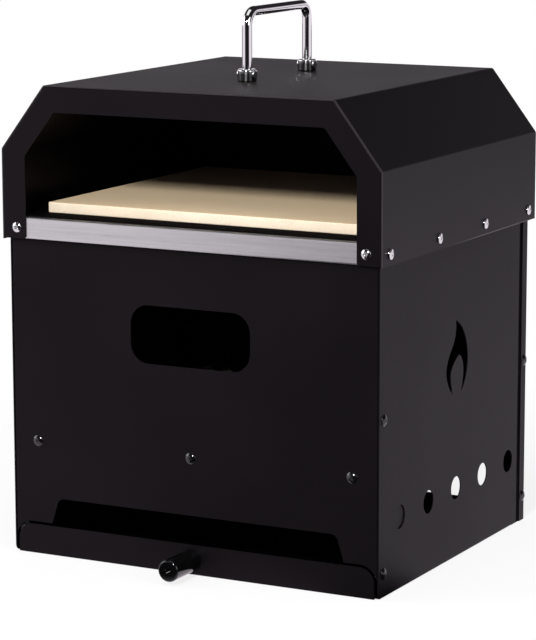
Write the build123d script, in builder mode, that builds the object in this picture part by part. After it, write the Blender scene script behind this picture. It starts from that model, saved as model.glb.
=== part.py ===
from build123d import *
from math import hypot
import os

os.makedirs("parts", exist_ok=True)

# Portable pizza oven, millimetres.
# +Z up, mouth towards -Y, origin on the ground under the middle of the whole.

# Sheet metal
sheet = 1.0
fold_radius = 2.0         # outside of a folded edge
fold_gap = 0.5            # relief between neighbouring flanges
slip = 0.3                # gap under or beside a loose piece

# Screws and nuts
shank_width = 5.0
black_head_width = 10.0   # screws of the firebox
silver_head_width = 8.6   # screws of the hood, knob and handle
head_height = 2.0
head_round = 1.4
nut_width = 8.0
nut_height = 4.0
screw_tail = 1.5          # thread past the nut
thread_clearance = 0.05   # radial, nut on screw
hole_clearance = 0.2      # radial, screw in sheet

# Firebox
firebox_width = 348.0
firebox_depth = 306.0
firebox_height = 275.0
rim_flange = 14.0         # folded in round the top
foot_flange = 15.0        # folded in under the side panels
foot_round = 6.0          # front foot corner of a side panel
front_flange = 55.0       # front panel's fold back along the sides
rear_flange = 12.0        # rear panel's fold forward along the sides
rear_slit = 7.5           # open slit between side panel and rear panel's fold
lug_height = 26.0         # upper lug; the lower one reaches the foot
lug_lap = 8.0

window_width = 113.0
window_height = 49.6
window_round = 16.5
window_z = 201.7

draught_top_z = 51.0
draught_top_inset = 41.5  # from the firebox side to the opening's upper corner
draught_foot_z = 25.0
draught_foot_inset = 33.5
draught_shift = 3.0       # the opening lies this far right of the middle
draught_round = 7.0
rear_sill_z = 14.0        # rear panel stays closed below this

vent_width = 20.0
vent_inset = 40.0         # from the firebox front and rear to the outer vents
vent_count = 5
vent_z = 61.5

flame_width = 44.0
flame_height = 64.0
flame_foot_z = 143.5

front_screw_inset = 9.0   # from the front edge back to the corner screws
front_screw_z = (20.5, 148.0)
rear_screw_inset = 5.5
rear_screw_z = (22.5, 147.0)

# Grate rails and charcoal grate
rail_screw_z = 100.0
rail_screw_inset = 24.5   # from the firebox side to the outer rail screws
rail_screw_count = 3
rail_drop = 20.0
rail_end_gap = 4.0
grate_play = 3.0          # between grate and rim flanges as it lifts out
grate_seat = 8.0          # width of grate that lies on each rail
grate_corner = 12.0
grate_rim = 5.0           # wire of the outer loop
grate_wire = 4.0
grate_pitch = 20.0
grate_weld = 0.8          # depth a bar is sunk into the loop

# Ash drawer
lip_inset = 4.0           # from the firebox side to the lip's end
lip_height = 25.5
lip_round = 13.0
lip_foot_z = 0.5
lip_gap = 2.5             # shadow gap round the lip
pan_side_gap = 7.0
pan_rear_gap = 5.0
pan_height = 14.0
pan_corner = 5.0
knob_width = 19.0
knob_length = 40.0
knob_z = 12.8
knob_round = 2.0
knob_dimple_width = 5.0
knob_dimple_depth = 4.0
knob_screw_reach = 20.0

# Hood
hood_side_overhang = 4.0
hood_end_overhang = 5.0
hood_skirt = 1.0          # side sheet hangs this far past the firebox rim
hood_side_height = 77.0
shoulder_rise = 55.0
roof_width = 271.5
hood_fold = 3.0
frame_side = 22.5         # front frame's borders
frame_slope = 21.0
frame_top = 22.5
frame_flange = 7.5
leg_round = 2.5
mouth_round = 2.0
end_screw_inset = 14.0    # from the hood side
end_screw_z = 9.5         # above the firebox rim
side_screw_inset = 15.5   # from the hood front and rear to the outer side screws
side_screw_count = 4
side_screw_z = 8.5        # above the firebox rim

# Channels round the foot of the hood
channel_height = 18.5
strip_leg = 6.0
strip_fold = 1.5
shelf_leg = 17.0
locator_gap = 3.0         # side play of the hood on the firebox
locator_drop = 8.0
locator_end_gap = 14.0

# Stone and its tray
stone_side_play = 5.5     # between stone and mouth as it slides out
stone_thickness = 9.0
stone_set_back = 28.0     # from the hood's front plane to the stone
stone_rear_gap = 13.0     # from the stone to the hood's rear plane
stone_round = 1.0
tray_front_gap = 0.5
heat_border = 32.0        # tray left under the stone all round
heat_corner = 20.0
flue_width = 6.0
flue_length = 62.0
flue_pitch = 88.0
flue_count = 3

# Handle
handle_rod_width = 8.5
handle_span = 111.5
handle_rise = 58.7        # roof to the middle of the grip
handle_bend = 12.0
handle_set_back = 5.0     # handle's middle behind the hood's middle
foot_width = 16.0
foot_across = 13.0        # over the flats that the pin heads bear on
foot_height = 10.5
foot_top_round = 1.5
foot_bore_slip = 0.1      # radial, rod in foot
foot_bore_floor = 3.5
pin_width = 3.5
pin_z = 6.2
pin_head_width = 8.6
pin_head_height = 1.6
pin_head_round = 1.2

# Widths, lengths and pitches that follow
draught_top_width = firebox_width - 2 * draught_top_inset
draught_foot_width = firebox_width - 2 * draught_foot_inset
vent_pitch = (firebox_depth - 2 * vent_inset) / (vent_count - 1)
rail_screw_pitch = (firebox_width - 2 * rail_screw_inset) / (rail_screw_count - 1)
rim_length = firebox_width - 2 * (rim_flange + fold_gap)
rail_length = firebox_width - 2 * (2 * sheet + rail_end_gap)
rail_shelf = rim_flange + grate_play + grate_seat - sheet
grate_width = firebox_width - 2 * (rim_flange + grate_play)
grate_depth = firebox_depth - 2 * (rim_flange + grate_play)
lip_width = firebox_width - 2 * lip_inset
pan_width = firebox_width - 2 * (2 * sheet + pan_side_gap)
pan_length = firebox_depth - sheet - pan_rear_gap
hood_width = firebox_width + 2 * hood_side_overhang
hood_depth = firebox_depth + 2 * hood_end_overhang
side_screw_pitch = (hood_depth - 2 * side_screw_inset) / (side_screw_count - 1)
locator_length = firebox_depth - 2 * (rim_flange + locator_end_gap)
stone_width = hood_width - 2 * (frame_side + stone_side_play)
stone_depth = hood_depth - stone_set_back - stone_rear_gap

# Planes and levels that follow
knob_reach = firebox_depth / 2 + knob_length
rear_reach = hood_depth / 2 + head_height
mid_y = (knob_reach - rear_reach) / 2
front_y = mid_y - firebox_depth / 2
rear_y = mid_y + firebox_depth / 2
side_x = firebox_width / 2
hood_front_y = mid_y - hood_depth / 2
hood_rear_y = mid_y + hood_depth / 2
hood_x = hood_width / 2
hood_foot_z = firebox_height - hood_skirt
shoulder_z = hood_foot_z + hood_side_height
roof_z = shoulder_z + shoulder_rise
channel_top_z = firebox_height + channel_height
stone_z = channel_top_z + sheet
rail_top_z = rail_screw_z + rail_drop / 2
side_panel_end_y = rear_y - rear_flange - rear_slit
end_screw_x = hood_x - end_screw_inset
hole_width = shank_width + 2 * hole_clearance
screw_length = 2 * sheet + nut_height + screw_tail
drill_one = 1.5 * sheet   # drilling depth through one sheet
drill_two = 3 * sheet     # and through two

front_plane = Plane.XZ.offset(-front_y)
rear_plane = Plane.XZ.offset(-rear_y)
hood_front_plane = Plane.XZ.offset(-hood_front_y)
hood_rear_plane = Plane.XZ.offset(-hood_rear_y)


# Section of a folded sheet: the corners run along its outer face and the metal lies on their left
def folded(*corners, radius=fold_radius):
    with BuildSketch(mode=Mode.PRIVATE) as section:
        with BuildLine():
            FilletPolyline(*corners, radius=radius)
            offset(amount=sheet, side=Side.LEFT)
        make_face()
    return section.sketch


# Pan-head screw with its bearing face on Z = 0 and its shank below
def pan_screw(head_width, shank_length):
    with BuildPart() as screw:
        Cylinder(head_width / 2, head_height, align=(Align.CENTER, Align.CENTER, Align.MIN))
        fillet(screw.edges().sort_by(Axis.Z)[-1], head_round)
        Cylinder(shank_width / 2, shank_length, align=(Align.CENTER, Align.CENTER, Align.MAX))
    return screw.part


# Nut for a screw that holds two sheets together
def hex_nut():
    with BuildPart() as nut:
        with BuildSketch(Plane.XY.offset(-2 * sheet)):
            RegularPolygon(nut_width / 2, 6, major_radius=False)
            Circle(shank_width / 2 + thread_clearance, mode=Mode.SUBTRACT)
        extrude(amount=-nut_height)
    return nut.part


# Corners of the hood's outline, set in from its sides, shoulders and roof, from right foot to left foot
def gable(side_inset, slope_inset, roof_inset, foot_z):
    run = hood_x - roof_width / 2
    length = hypot(run, shoulder_rise)
    across, up = shoulder_rise / length, run / length
    reach = hood_x * across + shoulder_z * up - slope_inset
    x = hood_x - side_inset
    z = roof_z - roof_inset
    shoulder = (x, (reach - x * across) / up)
    corner = ((reach - z * up) / across, z)
    right = [(x, foot_z), shoulder, corner]
    return right + [(-px, pz) for px, pz in reversed(right)]


# Filled outline of the hood with rounded folds, open to any foot level
def gable_face(side_inset, slope_inset, roof_inset, foot_z, corner_round):
    with BuildSketch(mode=Mode.PRIVATE) as face:
        with BuildLine():
            Polyline(*gable(side_inset, slope_inset, roof_inset, foot_z), close=True)
        make_face()
        fillet(face.vertices().sort_by(Axis.Y)[2:], corner_round)
    return face.sketch


# Row of places along a line, centred on zero
def row(count, pitch):
    return [(i - (count - 1) / 2) * pitch for i in range(count)]


# Screw places, each with its head outward
rail_spots = [
    Location((x, y, rail_screw_z), (turn, 0, 0))
    for y, turn in ((front_y, 90), (rear_y, -90))
    for x in row(rail_screw_count, rail_screw_pitch)
]
corner_spots = []
for side in (1, -1):
    for z in front_screw_z:
        corner_spots.append(Location((side * side_x, front_y + front_screw_inset, z), (0, side * 90, 0)))
    for z in rear_screw_z:
        corner_spots.append(Location((side * side_x, rear_y - rear_screw_inset, z), (0, side * 90, 0)))
hood_side_spots = [
    Location((side * hood_x, mid_y + y, firebox_height + side_screw_z), (0, side * 90, 0))
    for side in (1, -1)
    for y in row(side_screw_count, side_screw_pitch)
]
hood_end_spots = [
    Location((x, y, firebox_height + end_screw_z), (turn, 0, 0))
    for y, turn in ((hood_front_y, 90), (hood_rear_y, -90))
    for x in (-end_screw_x, end_screw_x)
]
black_screw = pan_screw(black_head_width, screw_length)
silver_screw = pan_screw(silver_head_width, screw_length)
sheet_nut = hex_nut()

# Draught opening of the front and rear panels
with BuildSketch(mode=Mode.PRIVATE) as draught:
    with BuildLine():
        Polyline(
            (draught_shift - draught_foot_width / 2, draught_foot_z),
            (draught_shift + draught_foot_width / 2, draught_foot_z),
            (draught_shift + draught_top_width / 2, draught_top_z),
            (draught_shift - draught_top_width / 2, draught_top_z),
            close=True,
        )
    make_face()
    fillet(draught.vertices().group_by(Axis.Y)[-1], draught_round)

# Front panel: folded back along both sides and in at the top
with BuildPart() as front_panel:
    with BuildSketch(Plane.XY.offset(sheet)):
        x = side_x - sheet
        add(folded((-x, front_y + front_flange), (-x, front_y), (x, front_y), (x, front_y + front_flange)))
    extrude(amount=firebox_height - 2 * sheet)
    with BuildSketch(Plane.XY.offset(firebox_height)):
        with Locations((0, front_y)):
            Rectangle(rim_length, rim_flange, align=(Align.CENTER, Align.MIN))
    extrude(amount=-sheet)
    rim_edge = front_panel.edges().filter_by(Axis.X).group_by(Axis.Z)[-1].sort_by(Axis.Y)[0]
    fillet(rim_edge, sheet / 2)
    with BuildSketch(front_plane):
        with Locations((0, window_z)):
            RectangleRounded(window_width, window_height, window_round)
        add(draught.sketch)
    extrude(amount=-2 * sheet, mode=Mode.SUBTRACT)
    with BuildSketch(front_plane) as notch:
        with Locations((0, lip_foot_z + lip_height + lip_gap)):
            Rectangle(lip_width + 2 * lip_gap, 2 * lip_height, align=(Align.CENTER, Align.MAX))
        fillet(notch.vertices().group_by(Axis.Y)[-1], lip_round + lip_gap)
    extrude(amount=-fold_radius - sheet, mode=Mode.SUBTRACT)
    with BuildSketch(front_plane):
        relief = fold_radius - sheet
        corners = [(side * (side_x - sheet), z) for side in (1, -1) for z in (sheet, firebox_height - sheet)]
        with Locations(*corners):
            Rectangle(2 * relief, 2 * relief)
    extrude(amount=-front_flange, mode=Mode.SUBTRACT)
    with Locations(*rail_spots, *corner_spots):
        Hole(hole_width / 2, depth=drill_two)
front_panel.part.label = "front_panel"
export_step(front_panel.part, "parts/front_panel.step")

# Rear panel: folded forward outside the side panels' lugs, closed below the sill
with BuildPart() as rear_panel:
    with BuildSketch():
        start = rear_y - rear_flange
        add(folded((side_x, start), (side_x, rear_y), (-side_x, rear_y), (-side_x, start)))
    extrude(amount=firebox_height)
    with BuildSketch(Plane.XY.offset(firebox_height)):
        with Locations((0, rear_y - sheet / 2)):
            Rectangle(rim_length, rim_flange - sheet / 2, align=(Align.CENTER, Align.MAX))
    extrude(amount=-sheet)
    with BuildSketch(rear_plane):
        add(draught.sketch)
        with Locations((draught_shift, rear_sill_z)):
            Rectangle(draught_foot_width, draught_foot_z - rear_sill_z, align=(Align.CENTER, Align.MIN))
    extrude(amount=2 * sheet, mode=Mode.SUBTRACT)
    with Locations(*rail_spots, *corner_spots):
        Hole(hole_width / 2, depth=drill_one)
rear_panel.part.label = "rear_panel"
export_step(rear_panel.part, "parts/rear_panel.step")


# A place on the flame, as shares of its half width and height
def flame_point(across, up):
    return (across * flame_width / 2, up * flame_height)


flame_tip = flame_point(-0.16, 1.0)
flame_right_foot = flame_point(0.36, 0.01)
flame_tongue = flame_point(0.18, 0.52)
flame_left_foot = flame_point(-0.39, 0.0)

# Right panel: flame with a tongue left standing in it, a row of round vents, flanges and rear lugs
with BuildPart() as right_panel:
    with BuildSketch(front_plane):
        add(
            folded(
                (side_x - foot_flange, 0),
                (side_x, 0),
                (side_x, firebox_height),
                (side_x - rim_flange, firebox_height),
            )
        )
    extrude(amount=front_y - side_panel_end_y)
    with BuildSketch(Plane.YZ.offset(side_x - 2 * sheet)):
        lug_length = lug_lap + rear_slit + rear_flange - 2 * sheet
        for z, height in zip(rear_screw_z, (2 * rear_screw_z[0], lug_height)):
            with Locations((side_panel_end_y - lug_lap, z)):
                Rectangle(lug_length, height, align=(Align.MIN, Align.CENTER))
    extrude(amount=sheet)
    with BuildSketch(Plane(origin=(side_x, mid_y, flame_foot_z), x_dir=(0, 1, 0), z_dir=(1, 0, 0))):
        with BuildLine():
            Spline(
                flame_tip,
                flame_point(0.55, 0.84),
                flame_point(0.98, 0.55),
                flame_point(0.91, 0.23),
                flame_right_foot,
            )
            Spline(flame_right_foot, flame_point(0.58, 0.23), flame_point(0.52, 0.41), flame_tongue)
            Spline(
                flame_tongue,
                flame_point(-0.23, 0.445),
                flame_point(-0.58, 0.30),
                flame_point(-0.54, 0.14),
                flame_left_foot,
            )
            Spline(
                flame_left_foot,
                flame_point(-0.84, 0.165),
                flame_point(-1.02, 0.34),
                flame_point(-0.75, 0.55),
                flame_point(-0.27, 0.735),
                flame_point(-0.14, 0.86),
                flame_tip,
            )
        make_face()
    extrude(amount=-sheet, mode=Mode.SUBTRACT)
    with BuildSketch(Plane.YZ.offset(side_x)):
        with Locations(*[(mid_y + y, vent_z) for y in row(vent_count, vent_pitch)]):
            Circle(vent_width / 2)
    extrude(amount=-sheet, mode=Mode.SUBTRACT)
    with BuildSketch(Plane.YZ.offset(side_x)):
        with Locations((front_y, 0)):
            Rectangle(foot_round, foot_round, align=(Align.MIN, Align.MIN))
        with Locations((front_y + foot_round, foot_round)):
            Circle(foot_round, mode=Mode.SUBTRACT)
    extrude(amount=-foot_flange, mode=Mode.SUBTRACT)
    with Locations(*corner_spots):
        Hole(hole_width / 2, depth=drill_two)
right_panel.part.label = "right_panel"
export_step(right_panel.part, "parts/right_panel.step")

with BuildPart() as left_panel:
    mirror(right_panel.part, about=Plane.YZ)
left_panel.part.label = "left_panel"
export_step(left_panel.part, "parts/left_panel.step")

# Angles that carry the grate, one behind each end panel
with BuildPart() as front_grate_rail:
    y = front_y + sheet
    with BuildSketch(Plane.YZ.offset(-rail_length / 2)):
        add(folded((y + rail_shelf, rail_top_z), (y, rail_top_z), (y, rail_top_z - rail_drop)))
    extrude(amount=rail_length)
    with Locations(*rail_spots):
        Hole(hole_width / 2, depth=drill_two)
front_grate_rail.part.label = "front_grate_rail"
export_step(front_grate_rail.part, "parts/front_grate_rail.step")

with BuildPart() as rear_grate_rail:
    mirror(front_grate_rail.part, about=Plane.XZ.offset(-mid_y))
rear_grate_rail.part.label = "rear_grate_rail"
export_step(rear_grate_rail.part, "parts/rear_grate_rail.step")

# Black screws of the firebox and their nuts
with BuildPart() as rail_screws:
    with Locations(*rail_spots):
        add(black_screw)
rail_screws.part.label = "rail_screws"
export_step(rail_screws.part, "parts/rail_screws.step")

with BuildPart() as rail_nuts:
    with Locations(*rail_spots):
        add(sheet_nut)
rail_nuts.part.label = "rail_nuts"
export_step(rail_nuts.part, "parts/rail_nuts.step")

with BuildPart() as corner_screws:
    with Locations(*corner_spots):
        add(black_screw)
corner_screws.part.label = "corner_screws"
export_step(corner_screws.part, "parts/corner_screws.step")

with BuildPart() as corner_nuts:
    with Locations(*corner_spots):
        add(sheet_nut)
corner_nuts.part.label = "corner_nuts"
export_step(corner_nuts.part, "parts/corner_nuts.step")

# Charcoal grate: a wire loop with bars welded across it
with BuildPart() as charcoal_grate:
    loop_z = rail_top_z + slip + grate_rim / 2
    x = (grate_width - grate_rim) / 2
    y = (grate_depth - grate_rim) / 2
    with BuildLine(Plane.XY.offset(loop_z)) as loop:
        FilletPolyline(
            (-x, mid_y - y), (x, mid_y - y), (x, mid_y + y), (-x, mid_y + y), radius=grate_corner, close=True
        )
    with BuildSketch(Plane(origin=loop.line @ 0, z_dir=loop.line % 0)):
        Circle(grate_rim / 2)
    sweep()
    bar_z = loop_z + (grate_rim + grate_wire) / 2 - grate_weld
    bar_count = int((grate_width - 2 * grate_corner) / grate_pitch) + 1
    with Locations(*[(x, mid_y, bar_z) for x in row(bar_count, grate_pitch)]):
        Cylinder(grate_wire / 2, grate_depth, rotation=(90, 0, 0))
charcoal_grate.part.label = "charcoal_grate"
export_step(charcoal_grate.part, "parts/charcoal_grate.step")

# Ash pan: folded tray whose front wall widens into the lip
with BuildPart() as ash_pan:
    with BuildSketch(Plane.XY.offset(sheet + slip)):
        with Locations((0, front_y + pan_length / 2)):
            RectangleRounded(pan_width, pan_length, pan_corner)
    extrude(amount=pan_height)
    offset(amount=-sheet, openings=ash_pan.faces().sort_by(Axis.Z)[-1])
    with BuildSketch(front_plane) as lip:
        with Locations((0, lip_foot_z)):
            Rectangle(lip_width, lip_height, align=(Align.CENTER, Align.MIN))
        fillet(lip.vertices().group_by(Axis.Y)[-1], lip_round)
    extrude(amount=-sheet)
    with Locations(Location((0, front_y, knob_z), (90, 0, 0))):
        Hole(hole_width / 2, depth=2 * sheet)
ash_pan.part.label = "ash_pan"
export_step(ash_pan.part, "parts/ash_pan.step")

with BuildPart() as drawer_knob:
    with BuildSketch(front_plane):
        with Locations((0, knob_z)):
            Circle(knob_width / 2)
    extrude(amount=knob_length)
    fillet(drawer_knob.edges().sort_by(Axis.Y)[0], knob_round)
    with Locations(Location((0, front_y - knob_length, knob_z), (90, 0, 0))):
        Hole(knob_dimple_width / 2, depth=knob_dimple_depth)
    with Locations(Location((0, front_y, knob_z), (-90, 0, 0))):
        Hole(shank_width / 2 + thread_clearance, depth=knob_screw_reach + sheet)
drawer_knob.part.label = "drawer_knob"
export_step(drawer_knob.part, "parts/drawer_knob.step")

with BuildPart() as knob_screw:
    with Locations(Location((0, front_y + sheet, knob_z), (-90, 0, 0))):
        add(pan_screw(silver_head_width, sheet + knob_screw_reach))
knob_screw.part.label = "knob_screw"
export_step(knob_screw.part, "parts/knob_screw.step")

# Hood shell: one sheet bent over four folds
with BuildPart() as hood_shell:
    with BuildSketch(hood_front_plane):
        add(folded(*gable(0, 0, 0, hood_foot_z), radius=hood_fold))
    extrude(amount=-hood_depth)
    with Locations(*hood_side_spots):
        Hole(hole_width / 2, depth=drill_one)
    handle_ends = [mid_y + handle_set_back + y for y in row(2, handle_span)]
    with Locations(*[(0, y, roof_z) for y in handle_ends]):
        Hole(hole_width / 2, depth=drill_one)
hood_shell.part.label = "hood_shell"
export_step(hood_shell.part, "parts/hood_shell.step")

# Front frame: border round the mouth with a flange folded back inside the shell
with BuildPart() as hood_front_frame:
    with BuildSketch(hood_front_plane):
        add(gable_face(sheet, sheet, sheet, firebox_height, hood_fold - sheet))
    extrude(amount=-frame_flange - sheet)
    rim = hood_front_frame.faces().sort_by(Axis.Y)[0].edges()
    fillet(rim - rim.group_by(Axis.Z)[0], sheet)
    with BuildSketch(hood_front_plane.offset(-sheet)):
        add(gable_face(2 * sheet, 2 * sheet, 2 * sheet, hood_foot_z, hood_fold - 2 * sheet))
    extrude(amount=-frame_flange, mode=Mode.SUBTRACT)
    with BuildSketch(hood_front_plane):
        add(gable_face(frame_side, frame_slope, frame_top, hood_foot_z, mouth_round))
    extrude(amount=-frame_flange, mode=Mode.SUBTRACT)
    leg_edges = hood_front_frame.edges().filter_by(Axis.Y).group_by(Axis.Z)[0]
    mouth_x = hood_x - frame_side
    fillet(leg_edges.filter_by_position(Axis.X, -mouth_x - slip, mouth_x + slip), leg_round)
    with Locations(*hood_end_spots):
        Hole(hole_width / 2, depth=drill_one)
hood_front_frame.part.label = "hood_front_frame"
export_step(hood_front_frame.part, "parts/hood_front_frame.step")

with BuildPart() as hood_rear_panel:
    with BuildSketch(hood_rear_plane):
        add(gable_face(sheet, sheet, sheet, firebox_height, hood_fold - sheet))
    extrude(amount=frame_flange + sheet)
    rim = hood_rear_panel.faces().sort_by(Axis.Y)[-1].edges()
    fillet(rim - rim.group_by(Axis.Z)[0], sheet)
    with BuildSketch(hood_rear_plane.offset(sheet)):
        add(gable_face(2 * sheet, 2 * sheet, 2 * sheet, hood_foot_z, hood_fold - 2 * sheet))
    extrude(amount=frame_flange, mode=Mode.SUBTRACT)
    with Locations(*hood_end_spots):
        Hole(hole_width / 2, depth=drill_one)
hood_rear_panel.part.label = "hood_rear_panel"
export_step(hood_rear_panel.part, "parts/hood_rear_panel.step")

# Channels round the foot of the hood: bright one across the mouth, black one across the rear
strip_half = hood_x - 2 * sheet - fold_gap
with BuildPart() as front_strip:
    y = hood_front_y + sheet
    with BuildSketch(Plane.YZ.offset(-strip_half)):
        add(
            folded(
                (y + strip_leg, channel_top_z),
                (y, channel_top_z),
                (y, firebox_height),
                (y + strip_leg, firebox_height),
                radius=strip_fold,
            )
        )
    extrude(amount=2 * strip_half)
    with Locations(*hood_end_spots):
        Hole(hole_width / 2, depth=drill_two)
front_strip.part.label = "front_strip"
export_step(front_strip.part, "parts/front_strip.step")

with BuildPart() as rear_rail:
    mirror(front_strip.part, about=Plane.XZ.offset(-mid_y))
rear_rail.part.label = "rear_rail"
export_step(rear_rail.part, "parts/rear_rail.step")

# Side channels: they carry the tray, rest on the firebox rim and keep the hood in place with a lip inside it
with BuildPart() as right_rail:
    x = hood_x - sheet
    leg_x = x - shelf_leg
    lip_x = side_x - rim_flange - locator_gap
    rail_half = hood_depth / 2 - sheet - frame_flange - fold_gap
    with BuildSketch(Plane.XZ.offset(rail_half - mid_y)):
        add(
            folded(
                (lip_x, firebox_height),
                (x, firebox_height),
                (x, channel_top_z),
                (leg_x, channel_top_z),
                radius=strip_fold,
            )
        )
    extrude(amount=-2 * rail_half)
    with BuildSketch(Plane.XZ.offset(locator_length / 2 - mid_y)):
        with Locations((lip_x, firebox_height + sheet)):
            Rectangle(sheet, locator_drop + sheet, align=(Align.MAX, Align.MAX))
    extrude(amount=-locator_length)
    with Locations(*hood_side_spots):
        Hole(hole_width / 2, depth=drill_two)
right_rail.part.label = "right_rail"
export_step(right_rail.part, "parts/right_rail.step")

with BuildPart() as left_rail:
    mirror(right_rail.part, about=Plane.YZ)
left_rail.part.label = "left_rail"
export_step(left_rail.part, "parts/left_rail.step")

# Silver screws of the hood and their nuts
with BuildPart() as side_screws:
    with Locations(*hood_side_spots):
        add(silver_screw)
side_screws.part.label = "side_screws"
export_step(side_screws.part, "parts/side_screws.step")

with BuildPart() as side_nuts:
    with Locations(*hood_side_spots):
        add(sheet_nut)
side_nuts.part.label = "side_nuts"
export_step(side_nuts.part, "parts/side_nuts.step")

with BuildPart() as end_screws:
    with Locations(*hood_end_spots):
        add(silver_screw)
end_screws.part.label = "end_screws"
export_step(end_screws.part, "parts/end_screws.step")

with BuildPart() as end_nuts:
    with Locations(*hood_end_spots):
        add(sheet_nut)
end_nuts.part.label = "end_nuts"
export_step(end_nuts.part, "parts/end_nuts.step")

# Stone tray: open under the stone, with flue slots beside it
stone_front_y = hood_front_y + stone_set_back
stone_mid_y = stone_front_y + stone_depth / 2
with BuildPart() as stone_tray:
    tray_front_y = hood_front_y + sheet + strip_leg + tray_front_gap
    tray_rear_y = hood_rear_y - sheet - frame_flange
    with BuildSketch(Plane.XY.offset(channel_top_z)):
        with Locations((0, (tray_front_y + tray_rear_y) / 2)):
            Rectangle(2 * strip_half, tray_rear_y - tray_front_y)
        with Locations((0, stone_mid_y)):
            RectangleRounded(
                stone_width - 2 * heat_border, stone_depth - 2 * heat_border, heat_corner, mode=Mode.SUBTRACT
            )
        flue_x = (stone_width / 2 + hood_x - sheet - shelf_leg) / 2
        flues = [(side * flue_x, stone_mid_y + y) for side in (1, -1) for y in row(flue_count, flue_pitch)]
        with Locations(*flues):
            SlotOverall(flue_length, flue_width, rotation=90, mode=Mode.SUBTRACT)
    extrude(amount=sheet)
stone_tray.part.label = "stone_tray"
export_step(stone_tray.part, "parts/stone_tray.step")

with BuildPart() as pizza_stone:
    with Locations((0, stone_mid_y, stone_z)):
        Box(stone_width, stone_depth, stone_thickness, align=(Align.CENTER, Align.CENTER, Align.MIN))
    fillet(pizza_stone.edges(), stone_round)
pizza_stone.part.label = "pizza_stone"
export_step(pizza_stone.part, "parts/pizza_stone.step")

# Handle: bent rod standing in two bored feet, each with a pin across and a screw from below
handle_y = mid_y + handle_set_back
rod_foot_z = roof_z + foot_bore_floor
grip_z = roof_z + handle_rise
with BuildPart() as handle_rod:
    half = handle_span / 2
    with BuildLine(Plane.YZ) as grip:
        FilletPolyline(
            (handle_y - half, rod_foot_z),
            (handle_y - half, grip_z),
            (handle_y + half, grip_z),
            (handle_y + half, rod_foot_z),
            radius=handle_bend,
        )
    with BuildSketch(Plane(origin=grip.line @ 0, z_dir=grip.line % 0)):
        Circle(handle_rod_width / 2)
    sweep()
    with Locations(*[Location((0, y, roof_z + pin_z), (0, 90, 0)) for y in handle_ends]):
        Cylinder(pin_width / 2, handle_rod_width, mode=Mode.SUBTRACT)
handle_rod.part.label = "handle_rod"
export_step(handle_rod.part, "parts/handle_rod.step")


# One foot of the handle, standing on Z = 0
def handle_foot():
    with BuildPart() as foot:
        Cylinder(foot_width / 2, foot_height, align=(Align.CENTER, Align.CENTER, Align.MIN))
        fillet(foot.edges().filter_by(GeomType.CIRCLE).sort_by(Axis.Z)[-1], foot_top_round)
        Box(
            foot_across,
            foot_width,
            foot_height,
            align=(Align.CENTER, Align.CENTER, Align.MIN),
            mode=Mode.INTERSECT,
        )
        with Locations((0, 0, foot_height)):
            Hole(handle_rod_width / 2 + foot_bore_slip, depth=foot_height - foot_bore_floor)
        with Locations(Location((0, 0, pin_z), (0, 90, 0))):
            Cylinder(pin_width / 2, foot_across, mode=Mode.SUBTRACT)
        with Locations((0, 0, foot_bore_floor)):
            Hole(shank_width / 2, depth=foot_bore_floor)
    return foot.part


foot_piece = handle_foot()
with BuildPart() as front_handle_foot:
    with Locations((0, handle_ends[0], roof_z)):
        add(foot_piece)
front_handle_foot.part.label = "front_handle_foot"
export_step(front_handle_foot.part, "parts/front_handle_foot.step")

with BuildPart() as rear_handle_foot:
    with Locations((0, handle_ends[1], roof_z)):
        add(foot_piece)
rear_handle_foot.part.label = "rear_handle_foot"
export_step(rear_handle_foot.part, "parts/rear_handle_foot.step")

with BuildPart() as handle_pins:
    for y in handle_ends:
        with Locations(Location((0, y, roof_z + pin_z), (0, 90, 0))):
            Cylinder(pin_width / 2, foot_across)
        for side in (1, -1):
            with Locations(Location((side * foot_across / 2, y, roof_z + pin_z), (0, side * 90, 0))):
                Cylinder(pin_head_width / 2, pin_head_height, align=(Align.CENTER, Align.CENTER, Align.MIN))
    head_rims = handle_pins.edges().filter_by(GeomType.CIRCLE).group_by(Axis.X)
    fillet(head_rims[0] + head_rims[-1], pin_head_round)
handle_pins.part.label = "handle_pins"
export_step(handle_pins.part, "parts/handle_pins.step")

with BuildPart() as handle_screws:
    with Locations(*[Location((0, y, roof_z - sheet), (180, 0, 0)) for y in handle_ends]):
        add(pan_screw(silver_head_width, sheet + foot_bore_floor))
handle_screws.part.label = "handle_screws"
export_step(handle_screws.part, "parts/handle_screws.step")
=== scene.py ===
import math

import bpy
import numpy as np
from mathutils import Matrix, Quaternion, Vector


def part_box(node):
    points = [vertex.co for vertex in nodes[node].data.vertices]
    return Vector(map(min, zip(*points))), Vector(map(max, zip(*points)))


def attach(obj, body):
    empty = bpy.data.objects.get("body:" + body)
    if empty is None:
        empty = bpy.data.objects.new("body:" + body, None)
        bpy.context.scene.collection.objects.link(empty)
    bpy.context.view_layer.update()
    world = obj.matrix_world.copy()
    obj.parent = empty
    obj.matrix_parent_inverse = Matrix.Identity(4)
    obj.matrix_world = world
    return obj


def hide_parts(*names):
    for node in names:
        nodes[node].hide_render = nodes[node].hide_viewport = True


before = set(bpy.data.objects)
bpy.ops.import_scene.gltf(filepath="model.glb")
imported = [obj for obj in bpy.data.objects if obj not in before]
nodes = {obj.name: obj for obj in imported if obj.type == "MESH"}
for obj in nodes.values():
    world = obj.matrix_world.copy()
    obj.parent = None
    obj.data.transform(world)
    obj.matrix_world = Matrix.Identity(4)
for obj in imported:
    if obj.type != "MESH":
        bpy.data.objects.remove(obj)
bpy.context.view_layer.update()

scene = bpy.context.scene
scene.view_settings.view_transform = "Standard"


# Camera

cameraView = {
    "azimuth": 27.722,  # degrees from -Y towards +X
    "elevation": 10.240,
    "roll": -0.100,
    "distance": 2.4638,
    "target": (-0.00716, 0.0165, 0.19218),
    "lens": 158.25,
    "sensor": 36.0,  # along the picture's long side, in mm like the lens
    "clip": (0.1, 50.0),
}


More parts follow.
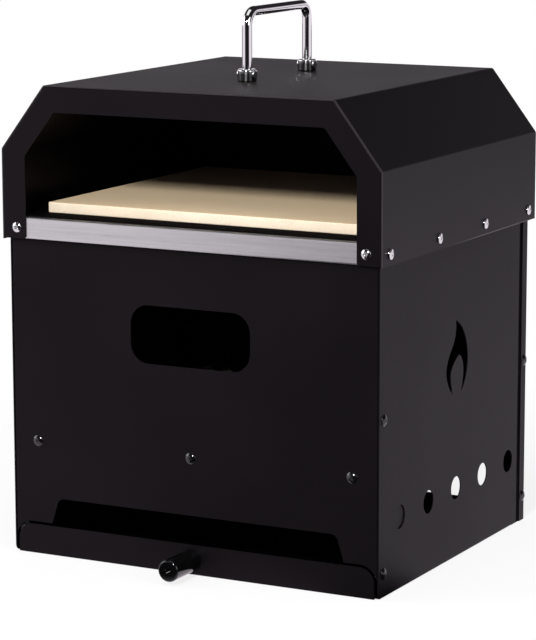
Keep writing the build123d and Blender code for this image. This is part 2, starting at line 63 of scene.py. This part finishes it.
def makeCamera(v):
    a, e = math.radians(v["azimuth"]), math.radians(v["elevation"])
    back = Vector((math.sin(a) * math.cos(e), -math.cos(a) * math.cos(e), math.sin(e)))
    data = bpy.data.cameras.new("camera")
    data.sensor_width = v["sensor"]
    data.lens = v["lens"]
    data.clip_start, data.clip_end = v["clip"]
    camera = bpy.data.objects.new("camera", data)
    scene.collection.objects.link(camera)
    camera.rotation_mode = "QUATERNION"
    camera.location = Vector(v["target"]) + back * v["distance"]
    turn = Quaternion((0, 0, 1), math.radians(v["roll"]))
    camera.rotation_quaternion = (-back).to_track_quat("-Z", "Y") @ turn
    scene.camera = camera


makeCamera(cameraView)
print("camera set")


# Shader helpers: a Wire is one output socket that takes part in sums


class Wire:
    def __init__(self, tree, socket):
        self.tree, self.socket = tree, socket

    def calc(self, operation, *terms):
        node = self.tree.nodes.new("ShaderNodeMath")
        node.operation = operation
        for place, term in zip(node.inputs, terms):
            plug(self.tree, place, term)
        return Wire(self.tree, node.outputs[0])

    def __add__(self, other):
        return self.calc("ADD", self, other)

    def __sub__(self, other):
        return self.calc("SUBTRACT", self, other)

    def __rsub__(self, other):
        return self.calc("SUBTRACT", other, self)

    def __mul__(self, other):
        return self.calc("MULTIPLY", self, other)

    __radd__ = __add__
    __rmul__ = __mul__

    def clamp(self):
        return self.calc("MINIMUM", self.calc("MAXIMUM", self, 0.0), 1.0)

    def steps(self, low, high):  # 0 below low, 1 above high, straight between
        return ((self - low) * (1.0 / (high - low))).clamp()


def plug(tree, place, term):
    if isinstance(term, Wire):
        tree.links.new(term.socket, place)
    else:
        place.default_value = term


class Tree:
    def __init__(self, owner):
        owner.use_nodes = True
        self.tree = owner.node_tree
        self.tree.nodes.clear()

    # One node: its type, its settings, then the values or links of its sockets
    def add(self, kind, settings=None, inputs=None, output=0):
        node = self.tree.nodes.new("ShaderNode" + kind)
        for name, value in (settings or {}).items():
            setattr(node, name, value)
        for name, value in (inputs or {}).items():
            plug(self.tree, node.inputs[name], value)
        return Wire(self.tree, node.outputs[output]) if node.outputs else None

    def place(self, stretch=(1, 1, 1)):
        spot = self.add("TexCoord", output="Object")
        return self.add("Mapping", inputs={"Vector": spot, "Scale": stretch})

    def noise(self, spot, scale, detail=2.0, roughness=0.5):
        return self.add(
            "TexNoise", inputs={"Vector": spot, "Scale": scale, "Detail": detail, "Roughness": roughness}
        )

    def axis(self, letter, of="Object"):  # one part of a point's place in the frame, or of its "Normal"
        spot = self.add("TexCoord", output=of)
        return self.add("SeparateXYZ", inputs={"Vector": spot}, output=letter)

    def blend(self, share, first, second):  # colours, as Mix does
        return self.add("Mix", {"data_type": "RGBA"}, {0: share, 6: first, 7: second}, 2)

    def dot(self, first, second):
        return self.add("VectorMath", {"operation": "DOT_PRODUCT"}, {0: first, 1: second}, "Value")

    def bump(self, height, distance, strength):
        return self.add("Bump", inputs={"Height": height, "Distance": distance, "Strength": strength})

    def close(self, shader, kind="OutputMaterial"):
        self.add(kind, inputs={"Surface": shader})


def rgb(r, g, b):
    return (r, g, b, 1.0)


def shaded(colour, share):
    return rgb(*[part * share for part in colour[:3]])


# Materials


coatSettings = {
    "body": {
        "dark": rgb(0.0021, 0.0016, 0.0020),
        "pale": rgb(0.0035, 0.0027, 0.0033),
        "roughness": (0.42, 0.50),
        "specular": 0.092,
    },
    "hood": {
        "dark": rgb(0.0015, 0.0011, 0.0014),
        "pale": rgb(0.0026, 0.0020, 0.0025),
        "roughness": (0.36, 0.44),
        "specular": 0.11,
    },
    "tray": {
        "dark": rgb(0.0020, 0.0016, 0.0018),
        "pale": rgb(0.0032, 0.0026, 0.0029),
        "roughness": (0.76, 0.86),
        "specular": 0.008,
    },
    "cloud": 9.0,  # slow change of tone over the sheet
    "peel": 900.0,  # orange peel of the baked powder
    "dust": 5200.0,
    "toneFrom": (0.35, 0.65),  # values of the noise between which the tone changes
    "roughFrom": (0.3, 0.7),  # and the roughness
    "relief": (0.00004, 0.6),  # depth of the peel in metres, and its strength
    "tint": rgb(1.0, 0.88, 1.0),  # of what the coat mirrors
    # soot, and painted shade inside the firebox and under the strip
    "sootAndShade": rgb(0.0040, 0.0034, 0.0037),
    "edgeHighlight": rgb(0.085, 0.078, 0.083),  # painted highlight along the hood shell's front rim and the foot of its skirt
    "edgeHighlightFront": (0.0009, 0.00117),  # metres back from the hood's front rim over which the painted highlight ends
    "edgeHighlightFoot": (0.0006, 0.00078),  # metres up from the foot of its skirt, likewise
    "rimShare": 0.25,
    "edgeHighlightFrom": (-0.02, 0.06),  # the painted highlight on the skirt's edge grows over these places along Y
    "worn": 0.12,  # added to the roughness of the roof, which is wiped most
    "roofFrom": (0.80, 0.95),  # a face counts as roof where the Z of its normal reaches this
}


def sootAndShadeShare(t, hollow, edge):
    # share of soot and painted shade: 1 inside the box "hollow" and 0 outside it, straight over "edge"
    # metres
    share = 1.0
    for letter, low, high in zip("XYZ", *hollow):
        at = t.axis(letter)
        share = at.steps(low, low + edge) * (1 - at.steps(high - edge, high)) * share
    return share


def edgeHighlightShare(t, s, front, foot):
    # share of the painted highlight: 1 on the front rim and on the rear part of the skirt's edge, 0
    # elsewhere
    rim = 1 - t.axis("Y").steps(*[front + back for back in s["edgeHighlightFront"]])
    edge = 1 - t.axis("Z").steps(*[foot + up for up in s["edgeHighlightFoot"]])
    return (rim * s["rimShare"] + edge * t.axis("Y").steps(*s["edgeHighlightFrom"])).clamp()


def coatedSheet(name, s, shared, hollows=(), rims=None):
    # "hollows" get soot and painted shade: a box, its edge and its share each;
    # "rims" are a hood's front and foot, which get a painted highlight
    m = bpy.data.materials.new(name)
    t = Tree(m)
    spot = t.place()
    cloud = t.noise(spot, shared["cloud"], 3.0)
    peel = t.noise(spot, shared["peel"], 2.0)
    dust = t.noise(spot, shared["dust"], 1.0)
    tone = (cloud * 0.6 + dust * 0.4).steps(*shared["toneFrom"])
    low, high = s["roughness"]
    rough = low + (cloud * 0.5 + peel * 0.5).steps(*shared["roughFrom"]) * (high - low)
    colour = t.blend(tone, s["dark"], s["pale"])
    if rims:
        # painted highlight on the hood's front rim and skirt edge
        colour = t.blend(edgeHighlightShare(t, shared, *rims), colour, shared["edgeHighlight"])
        rough = rough + t.axis("Z", "Normal").steps(*shared["roofFrom"]) * shared["worn"]
    coat = t.add(
        "BsdfPrincipled",
        inputs={
            "Base Color": colour,
            "Roughness": rough,
            "Specular IOR Level": s["specular"],
            "Specular Tint": shared["tint"],
            "Normal": t.bump(peel + dust * 0.5, *shared["relief"]),
        },
    )
    if hollows:
        # soot and painted shade inside the hollow boxes
        sootAndShade = t.add("BsdfDiffuse", inputs={"Color": shared["sootAndShade"]})
        share = sum(sootAndShadeShare(t, box, edge) * full for box, edge, full in hollows).clamp()
        coat = t.add("MixShader", inputs={0: share, 1: coat, 2: sootAndShade})
    t.close(coat)
    return m


steelSettings = {
    "dark": rgb(0.46, 0.46, 0.465),
    "pale": rgb(0.65, 0.65, 0.655),
    "grain": (0.6, 60.0, 60.0),  # long along X
    "fine": 60.0,
    "broad": 9.0,
    "streakFrom": (0.32, 0.68),
    "roughness": (0.24, 0.40),
    "relief": (0.00003, 0.5),
}


def brushedSteel(name, s):
    m = bpy.data.materials.new(name)
    t = Tree(m)
    spot = t.place(s["grain"])
    fine = t.noise(spot, s["fine"], 3.0, 0.65)
    broad = t.noise(spot, s["broad"], 2.0)
    streak = (fine * 0.6 + broad * 0.4).steps(*s["streakFrom"])
    low, high = s["roughness"]
    shader = t.add(
        "BsdfPrincipled",
        inputs={
            "Base Color": t.blend(streak, s["dark"], s["pale"]),
            "Metallic": 1.0,
            "Roughness": low + streak * (high - low),
            "Normal": t.bump(fine, *s["relief"]),
        },
    )
    t.close(shader)
    return m


cloudShade = 0.9  # the darker tone of a bare metal
scratches = {"finer": 11.0, "relief": (0.00001, 0.3)}  # finer than the metal's cloud by this factor
metalSettings = {
    "chrome": {"colour": rgb(0.80, 0.80, 0.81), "roughness": (0.03, 0.07), "cloud": 40.0},
    "screw": {"colour": rgb(0.72, 0.72, 0.73), "roughness": (0.07, 0.12), "cloud": 900.0},
    "nut": {"colour": rgb(0.55, 0.56, 0.57), "roughness": (0.28, 0.42), "cloud": 600.0},
    "grate": {"colour": rgb(0.50, 0.49, 0.48), "roughness": (0.22, 0.40), "cloud": 160.0},
    "zinc": {"colour": rgb(0.50, 0.51, 0.52), "roughness": (0.34, 0.52), "cloud": 120.0},
}


def bareMetal(name, s):
    m = bpy.data.materials.new(name)
    t = Tree(m)
    spot = t.place()
    cloud = t.noise(spot, s["cloud"], 3.0)
    scratch = t.noise(spot, s["cloud"] * scratches["finer"], 2.0)
    low, high = s["roughness"]
    shader = t.add(
        "BsdfPrincipled",
        inputs={
            "Base Color": t.blend(cloud, shaded(s["colour"], cloudShade), s["colour"]),
            "Metallic": 1.0,
            "Roughness": low + (cloud * 0.6 + scratch * 0.4) * (high - low),
            "Normal": t.bump(scratch, *scratches["relief"]),
        },
    )
    t.close(shader)
    return m


footSettings = {
    "bright": rgb(0.60, 0.60, 0.61),
    "dull": rgb(0.20, 0.20, 0.205),
    "seamShadow": rgb(0.01, 0.01, 0.01),
    "roughness": (0.06, 0.12),
    "cloud": 300.0,
    "brightFrom": (0.60, 0.75),  # shares of the foot's height over which the painted highlight on the rim begins
    "seamShadowTo": (0.07, 0.105),  # and over which the painted contact shadow at its foot ends
}


def footHighlightAndShadow(name, s, foot, top):
    # a painted highlight on the rim, dull on the body, and a painted shadow in the seam on the roof
    m = bpy.data.materials.new(name)
    t = Tree(m)
    cloud = t.noise(t.place(), s["cloud"], 3.0)
    height = (t.axis("Z") - foot) * (1 / (top - foot))
    low, high = s["roughness"]
    # painted shadow in the seam at the foot, painted highlight on the rim above
    body = t.blend(height.steps(*s["seamShadowTo"]), s["seamShadow"], s["dull"])
    shader = t.add(
        "BsdfPrincipled",
        inputs={
            "Base Color": t.blend(height.steps(*s["brightFrom"]), body, s["bright"]),
            "Metallic": 1.0,
            "Roughness": low + cloud * (high - low),
        },
    )
    t.close(shader)
    return m


glossRipple = {"cloud": 260.0, "shades": (0.8, 1.2), "relief": (0.00002, 0.3)}
glossSettings = {
    "knob": {"colour": rgb(0.0015, 0.0015, 0.0017), "roughness": (0.05, 0.09), "specular": 0.5},
    "blackScrew": {"colour": rgb(0.002, 0.002, 0.0022), "roughness": (0.10, 0.18), "specular": 0.6},
}


def glossBlack(name, s):
    m = bpy.data.materials.new(name)
    t = Tree(m)
    cloud = t.noise(t.place(), glossRipple["cloud"], 3.0)
    low, high = s["roughness"]
    shader = t.add(
        "BsdfPrincipled",
        inputs={
            "Base Color": t.blend(cloud, *[shaded(s["colour"], share) for share in glossRipple["shades"]]),
            "Roughness": low + cloud * (high - low),
            "Specular IOR Level": s["specular"],
            "Normal": t.bump(cloud, *glossRipple["relief"]),
        },
    )
    t.close(shader)
    return m


stoneSettings = {
    "body": rgb(0.77, 0.64, 0.47),
    "pale": rgb(0.88, 0.79, 0.63),
    "grit": rgb(0.56, 0.44, 0.30),
    "bakedAndLit": rgb(0.96, 0.73, 0.45),  # the top face: toasted by the heat, and painted lighter against the hood's shade on it
    "bakedAndLitShare": 0.80,
    "bakedAndLitFrom": (0.5, 0.9),  # Z of the normal over which a face counts as that one
    "patchFrom": (0.36, 0.64),
    "speckFrom": (0.60, 0.68),
    "speckShare": 0.7,
    "patch": 14.0,
    "grain": 520.0,
    "pore": 1500.0,
    "roughness": (0.82, 0.97),
    "specular": 0.25,
    "relief": (0.00022, 0.7),
}


def firedStone(name, s):
    m = bpy.data.materials.new(name)
    t = Tree(m)
    spot = t.place()
    patch = t.noise(spot, s["patch"], 4.0, 0.6)
    grain = t.noise(spot, s["grain"], 3.0, 0.6)
    pore = t.noise(spot, s["pore"], 2.0)
    body = t.blend((patch * 0.5 + grain * 0.5).steps(*s["patchFrom"]), s["body"], s["pale"])
    up = t.axis("Z", "Normal").steps(*s["bakedAndLitFrom"])
    # toasted colour on the top faces, painted lighter against the hood's shade
    body = t.blend(up * s["bakedAndLitShare"], body, s["bakedAndLit"])
    speck = (pore * 0.5 + grain * 0.5).steps(*s["speckFrom"])
    low, high = s["roughness"]
    shader = t.add(
        "BsdfPrincipled",
        inputs={
            "Base Color": t.blend(speck * s["speckShare"], body, s["grit"]),
            "Roughness": low + grain * (high - low),
            "Specular IOR Level": s["specular"],
            "Normal": t.bump(grain - speck * 0.6, *s["relief"]),
        },
    )
    t.close(shader)
    return m


# Soot and painted shade lie just behind the outer faces of the firebox and on the pan behind its lip; a
# painted shadow lies on the front panel's top edge under the steel strip
sootAndShadeSettings = {
    "skin": 0.0005,  # metres in from an outer face at which it begins
    "flange": 0.0015,  # the same past the front panel's side flanges, which a vent shows
    "edge": 0.0006,  # metres over which it thickens
    "foot": -0.01,  # under all of the firebox
    "panTop": 0.1,
    "ahead": 0.01,  # metres by which the shade under the strip starts before the front face
    "top": 1.0,  # above all of it
    "stripShadows": [(0.0016, 0.0008, 1.0), (0.0075, 0.0070, 0.45)],  # painted shadow under the strip: reach, edge and share; a dark line, then softer shade
}
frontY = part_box("front_panel")[0].y
rearLow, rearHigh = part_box("rear_panel")
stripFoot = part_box("front_strip")[0].z


def hollowIn(s, side):
    # the firebox's outside made smaller by "side" in width and by the skin elsewhere, open at the foot
    low = (rearLow.x + side, frontY + s["skin"], s["foot"])
    high = (rearHigh.x - side, rearHigh.y - s["skin"], rearHigh.z - s["skin"])
    return (low, high), s["edge"], 1.0


def panIn(s):
    low = (rearLow.x, frontY + s["skin"], s["foot"])
    return (low, (rearHigh.x, rearHigh.y, s["panTop"])), s["edge"], 1.0


# painted shadow on the front panel's top edge under the steel strip
def shadowUnderStrip(s, reach, edge, full):
    low = (rearLow.x, frontY - s["ahead"], stripFoot - reach)
    return (low, (rearHigh.x, rearHigh.y, s["top"])), edge, full


bodySootAndShade = [hollowIn(sootAndShadeSettings, sootAndShadeSettings["skin"])]
frontSootAndShade = [hollowIn(sootAndShadeSettings, sootAndShadeSettings["flange"])]
frontSootAndShade += [shadowUnderStrip(sootAndShadeSettings, *seamShadow) for seamShadow in sootAndShadeSettings["stripShadows"]]
panSootAndShade = [panIn(sootAndShadeSettings)]
bodyCoat = coatedSheet("body_coat", coatSettings["body"], coatSettings, bodySootAndShade)
frontCoat = coatedSheet("front_coat", coatSettings["body"], coatSettings, frontSootAndShade)
panCoat = coatedSheet("pan_coat", coatSettings["body"], coatSettings, panSootAndShade)
hoodCoat = coatedSheet("hood_coat", coatSettings["hood"], coatSettings)
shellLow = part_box("hood_shell")[0]
shellCoat = coatedSheet("shell_coat", coatSettings["hood"], coatSettings, rims=(shellLow.y, shellLow.z))
trayCoat = coatedSheet("tray_coat", coatSettings["tray"], coatSettings)
stainless = brushedSteel("stainless", steelSettings)
chrome = bareMetal("chrome", metalSettings["chrome"])
footLow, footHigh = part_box("front_handle_foot")
footHighlightAndShadowFinish = footHighlightAndShadow("foot_highlight_and_shadow", footSettings, footLow.z, footHigh.z)
brightScrew = bareMetal("bright_screw", metalSettings["screw"])
plainNut = bareMetal("plain_nut", metalSettings["nut"])
grateWire = bareMetal("grate_wire", metalSettings["grate"])
zincSheet = bareMetal("zinc_sheet", metalSettings["zinc"])
knobGloss = glossBlack("knob_gloss", glossSettings["knob"])
blackScrew = glossBlack("black_screw", glossSettings["blackScrew"])
stoneFace = firedStone("stone_face", stoneSettings)

finishOf = {
    "front_panel": frontCoat,
    "rear_panel": bodyCoat,
    "left_panel": bodyCoat,
    "right_panel": bodyCoat,
    "ash_pan": panCoat,
    "front_grate_rail": zincSheet,
    "rear_grate_rail": zincSheet,
    "rail_nuts": plainNut,
    "corner_nuts": plainNut,
    "drawer_knob": knobGloss,
    "knob_screw": plainNut,
    "charcoal_grate": grateWire,
    "hood_shell": shellCoat,
    "hood_front_frame": hoodCoat,
    "hood_rear_panel": hoodCoat,
    "front_strip": stainless,
    "rear_rail": hoodCoat,
    "left_rail": zincSheet,
    "right_rail": zincSheet,
    "side_nuts": plainNut,
    "end_nuts": plainNut,
    "stone_tray": trayCoat,
    "handle_rod": chrome,
    "front_handle_foot": footHighlightAndShadowFinish,
    "rear_handle_foot": footHighlightAndShadowFinish,
    "handle_pins": chrome,
    "handle_screws": plainNut,
    "pizza_stone": stoneFace,
}
for name, material in finishOf.items():
    mesh = nodes[name].data
    mesh.materials.clear()
    mesh.materials.append(material)
print("finishes given to", len(finishOf), "nodes")


# New pieces are numpy grids put into a mesh


def gridMesh(name, grids, closedAcross=True, material=None, smooth=True):
    # each grid is rows x columns x 3; a row joins the next, and the last column the first when closed
    faces, points, start = [], [], 0
    for grid in grids:
        rows, columns, _ = grid.shape
        index = start + np.arange(rows * columns).reshape(rows, columns)
        right = np.roll(index, -1, axis=1)
        if not closedAcross:
            index, right = index[:, :-1], right[:, :-1]
        faces.append(np.stack([index[:-1], right[:-1], right[1:], index[1:]], axis=-1).reshape(-1, 4))
        points.append(grid.reshape(-1, 3))
        start += rows * columns
    mesh = bpy.data.meshes.new(name)
    mesh.from_pydata(np.concatenate(points).tolist(), [], np.concatenate(faces).tolist())
    mesh.update()
    mesh.polygons.foreach_set("use_smooth", np.full(len(mesh.polygons), smooth))
    if material:
        mesh.materials.append(material)
    return mesh


screwShape = {
    "headHeight": 0.0020,
    "shankRadius": 0.0025,
    "shankEnd": 0.0004,  # chamfer at the shank's tip
    "crossWall": 0.0002,
    "crossRise": 0.75,  # share of its depth that the cross has lost at the end of an arm
    "rings": 24,
    "spokes": 48,
    "reach": 0.03,  # vertices of one CAD screw lie nearer together than this
    "screws": {
        "rail_screws": {"kind": "black", "body": "firebox", "axis": 1},
        "corner_screws": {"kind": "black", "body": "firebox", "axis": 0},
        "side_screws": {"kind": "flat", "body": "hood", "axis": 0},
        "end_screws": {"kind": "round", "body": "hood", "axis": 1},
    },
    # Height of the head's upright rim under its ball cap, then the cross: reach, half width and depth
    "kinds": {
        "black": {
            "finish": blackScrew,
            "slot": "black_screws",
            "headRim": 0.0002,
            "cross": (0.0015, 0.00040, 0.0009),
        },
        "flat": {
            "finish": brightScrew,
            "slot": "silver_screws",
            "headRim": 0.0011,
            "cross": (0.0015, 0.00040, 0.0009),
        },
        "round": {
            "finish": brightScrew,
            "slot": "silver_screws",
            "headRim": 0.0006,
            "cross": (0.0019, 0.00058, 0.0014),
        },
    },
    "turn": 0.9,  # radians between the crosses of neighbouring screws
}


def screwSurface(s, kind, headRadius, headHeight, shankLength):
    # A ring at each step of a profile, turned about Z: from the head's centre over its ball cap, under it
    # and down the shank to its tip. The ball's radius is (head radius squared + rise squared) / (2 x rise).
    # Inside the cross the top sinks by depth x (1 - crossRise x run / reach), where run is the distance
    # along the nearer arm.
    rise = headHeight - kind["headRim"]
    ball = (headRadius**2 + rise**2) / (2 * rise)
    out = np.linspace(0.0, headRadius, s["rings"])
    top = np.stack([out, headHeight - ball + np.sqrt(ball**2 - out**2)], axis=1)
    rest = np.array(
        [
            (headRadius, 0.0),
            (s["shankRadius"], 0.0),
            (s["shankRadius"], s["shankEnd"] - shankLength),
            (s["shankRadius"] - s["shankEnd"], -shankLength),
            (0.0, -shankLength),
        ]
    )
    profile = np.concatenate([top, rest])
    angle = -np.linspace(0, 2 * np.pi, s["spokes"], endpoint=False)
    x = profile[:, :1] * np.cos(angle)
    y = profile[:, :1] * np.sin(angle)
    z = np.repeat(profile[:, 1:], s["spokes"], axis=1)
    near, run = np.minimum(np.abs(x), np.abs(y)), np.maximum(np.abs(x), np.abs(y))
    reach, halfWidth, depth = kind["cross"]
    inside = np.clip((halfWidth - near) / s["crossWall"], 0, 1)
    inside *= np.clip((reach - run) / s["crossWall"], 0, 1)
    isTop = np.arange(len(profile))[:, None] < s["rings"]
    z = z - np.where(isTop, depth * inside * (1 - s["crossRise"] * run / reach), 0.0)
    return np.stack([x, y, z], axis=-1)


def screwBoxes(node, reach):
    # lowest and highest corner of each screw of a CAD node
    mesh = nodes[node].data
    points = np.zeros(len(mesh.vertices) * 3, np.float32)
    mesh.vertices.foreach_get("co", points)
    points = points.reshape(-1, 3)
    found = []
    while len(points):
        near = np.linalg.norm(points - points[0], axis=1) < reach
        found.append((points[near].min(axis=0), points[near].max(axis=0)))
        points = points[~near]
    return found


def makeScrews(node, s, own):
    # every screw of a node in one mesh: its head faces away from the middle of the oven
    axis, kind = own["axis"], s["kinds"][own["kind"]]
    middle = (sum(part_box(node), Vector()) / 2)[axis]
    grids = []
    for number, (low, high) in enumerate(screwBoxes(node, s["reach"])):
        centre = (low + high) / 2
        sign = 1.0 if centre[axis] > middle else -1.0
        out = np.eye(3)[axis] * sign
        across = np.eye(3)[2]
        side = np.cross(out, across)
        headRadius = (high[2] - low[2]) / 2
        headTop = high[axis] if sign > 0 else low[axis]
        length = high[axis] - low[axis]
        points = screwSurface(s, kind, headRadius, s["headHeight"], length - s["headHeight"])
        a = number * s["turn"]
        first = across * math.cos(a) + side * math.sin(a)
        second = side * math.cos(a) - across * math.sin(a)
        seat = centre.copy()
        seat[axis] = headTop - sign * s["headHeight"]
        grids.append(seat + points @ np.stack([first, second, out]))
    mesh = gridMesh(node + "_detail", grids, material=kind["finish"])
    piece = bpy.data.objects.new(node + "_detail", mesh)
    scene.collection.objects.link(piece)
    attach(piece, own["body"])
    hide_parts(node)


for name, own in screwShape["screws"].items():
    makeScrews(name, screwShape, own)
print("screws made for", len(screwShape["screws"]), "nodes")


# The lap behind the slit between side panel and rear panel, where the CAD model has only two lugs
lapShape = {
    "outer": 0.00105,  # from the firebox's side in to the lap's outer face
    "gauge": 0.0009,
    "along": (-0.0275, -0.0020),  # from the rear panel's outer face
    "heights": ((0.0451, 0.1339), (0.1601, 0.2736)),  # under, between and above the lugs
}


def boxGrid(low, high):
    # The four upright edges as columns, turning left seen from above. The rows are the middle of
    # the foot, its corners, the corners of the top and its middle.
    corners = np.array([(low[0], low[1]), (high[0], low[1]), (high[0], high[1]), (low[0], high[1])])
    middle = np.repeat(corners.mean(axis=0)[None], 4, axis=0)
    rows = [(middle, low[2]), (corners, low[2]), (corners, high[2]), (middle, high[2])]
    return np.stack([np.column_stack([flat, np.full(4, z)]) for flat, z in rows])


def makeLaps(s):
    outer = rearHigh.x - s["outer"]
    inner = outer - s["gauge"]
    near, far = [rearHigh.y + y for y in s["along"]]
    for name, low, high in (("right_lap", inner, outer), ("left_lap", -outer, -inner)):
        grids = [boxGrid((low, near, foot), (high, far, top)) for foot, top in s["heights"]]
        lap = bpy.data.objects.new(name, gridMesh(name, grids, material=bodyCoat, smooth=False))
        scene.collection.objects.link(lap)
        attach(lap, "firebox")


makeLaps(lapShape)
print("laps made")


# Studio

lampAim = (0.0, 0.0, 0.2)
studio = {
    "key": {"at": (0.62, -2.8, 1.72), "size": 0.45, "power": 88.0},
    "left": {"at": (-2.9, -1.2, 1.5), "size": 2.0, "power": 34.0},
    "right": {"at": (2.9, -0.9, 1.3), "size": 1.6, "power": 30.0},
    "top": {"at": (0.0, -0.4, 3.0), "size": 2.0, "power": 14.0},
}


def makeLamp(name, s, aim):
    data = bpy.data.lights.new(name, "AREA")
    data.shape = "SQUARE"
    data.size = s["size"]
    data.energy = s["power"]
    lamp = bpy.data.objects.new(name, data)
    scene.collection.objects.link(lamp)
    lamp.location = s["at"]
    lamp.rotation_mode = "QUATERNION"
    lamp.rotation_quaternion = (Vector(aim) - Vector(s["at"])).to_track_quat("-Z", "Y")


for name, settings in studio.items():
    makeLamp(name, settings, lampAim)
print("studio lit by", len(studio), "lamps")


# What polished pieces mirror: a dark wall in front, white ones at the sides and behind, a dark ceiling
roomSettings = {
    "front": (0.465, -0.885, 0.0),
    "darkFrom": (0.62, 0.74),  # cosine from the front at which the dark part begins and is full
    "dimFrom": (-0.40, -0.54),  # the same for the dim part behind
    "dark": 0.015,
    "dim": 0.13,  # brightness of the paper far behind
    "dimWall": 0.98,  # and of the wall above it
    "overhead": (0.16, 0.32, 0.02),  # heights of the walls' end and the ceiling's start, and its brightness
    "lean": 0.19,  # the ceiling starts lower to the right by this share of the way across
    "lessGreen": 0.08,  # the room in mirrors is a trace violet by this share
    "diffuse": 0.45,  # the room's even light on what does not mirror
}


def roomAt(t, way, s, dim):
    # brightness of the walls in a direction, 1 down to "dark" in front, and the share lost behind
    ahead = t.dot(way, s["front"])
    low, high = s["darkFrom"]
    near, far = s["dimFrom"]
    behind = (0 - ahead).steps(-near, -far)
    wall = 1 - ahead.steps(low, high) * (1 - s["dark"])
    return wall, behind * (1 - dim)


def roomColour(t, seen, s):
    # plain white to the camera, with less green in everything else
    green = 1 - (1 - seen) * s["lessGreen"]
    return t.add("CombineXYZ", inputs={"X": 1.0, "Y": green, "Z": 1.0}, output="Vector")


def makeWorld(s):
    world = bpy.data.worlds.new("studio")
    scene.world = world
    t = Tree(world)
    seen = t.add("LightPath", output="Is Camera Ray")
    gloss = t.add("LightPath", output="Is Glossy Ray")
    ray = t.add("TexCoord", output="Generated")
    level = t.add("VectorMath", {"operation": "MULTIPLY"}, {0: ray, 1: (1, 1, 0)}, "Vector")
    way = t.add("VectorMath", {"operation": "NORMALIZE"}, {0: level}, "Vector")
    wall, behind = roomAt(t, way, s, s["dimWall"])
    low, high, ceiling = s["overhead"]
    across = t.add("SeparateXYZ", inputs={"Vector": ray}, output="X")
    height = t.add("SeparateXYZ", inputs={"Vector": ray}, output="Z")
    up = (height + across * s["lean"]).steps(low, high)
    mirrored = wall * (1 - behind) * (1 - up) + up * ceiling
    light = seen + (1 - seen) * (gloss * mirrored + (1 - gloss) * s["diffuse"])
    t.close(t.add("Background", inputs={"Color": roomColour(t, seen, s), "Strength": light}), "OutputWorld")


makeWorld(roomSettings)

floorSettings = {
    "half": 6.0,
    "colour": rgb(0.92, 0.92, 0.92),
    "glow": 0.78,  # share of plain white near the object; the rest takes light and shade
    "reach": (0.35, 0.75),  # metres over which the rest turns plain white
    "dimAt": (2.35, 2.6),  # metres over which the paper behind the object turns dim in mirrors
    "whiteAt": (0.175, 0.205),  # metres over which the white close by ends in mirrors
}


def makeFloor(s, room):
    h = s["half"]
    corners = np.array([[[-h, -h, 0.0], [h, -h, 0.0]], [[-h, h, 0.0], [h, h, 0.0]]])
    mesh = gridMesh("floor", [corners], closedAcross=False)
    floor = bpy.data.objects.new("floor", mesh)
    scene.collection.objects.link(floor)
    m = bpy.data.materials.new("floor_paper")
    t = Tree(m)
    seen = t.add("LightPath", output="Is Camera Ray")
    gloss = t.add("LightPath", output="Is Glossy Ray")
    spot = t.add("TexCoord", output="Object")
    away = t.add("VectorMath", {"operation": "LENGTH"}, {0: spot}, "Value")
    way = t.add("VectorMath", {"operation": "NORMALIZE"}, {0: spot}, "Vector")
    wall, behind = roomAt(t, way, room, room["dim"])
    mirrored = wall * (1 - behind * away.steps(*s["dimAt"]))
    mirrored = mirrored + (1 - away.steps(*s["whiteAt"])) * (1 - mirrored)
    near, far = s["reach"]
    share = s["glow"] + away.steps(near, far) * (1 - s["glow"])
    paper = t.add("BsdfDiffuse", inputs={"Color": s["colour"]})
    colour = roomColour(t, seen, room)
    glow = t.add("Emission", inputs={"Color": colour, "Strength": seen + (1 - seen) * mirrored})
    t.close(t.add("MixShader", inputs={0: (seen * share + gloss).clamp(), 1: paper, 2: glow}))
    mesh.materials.append(m)


makeFloor(floorSettings, roomSettings)
print("floor laid")

print("done")
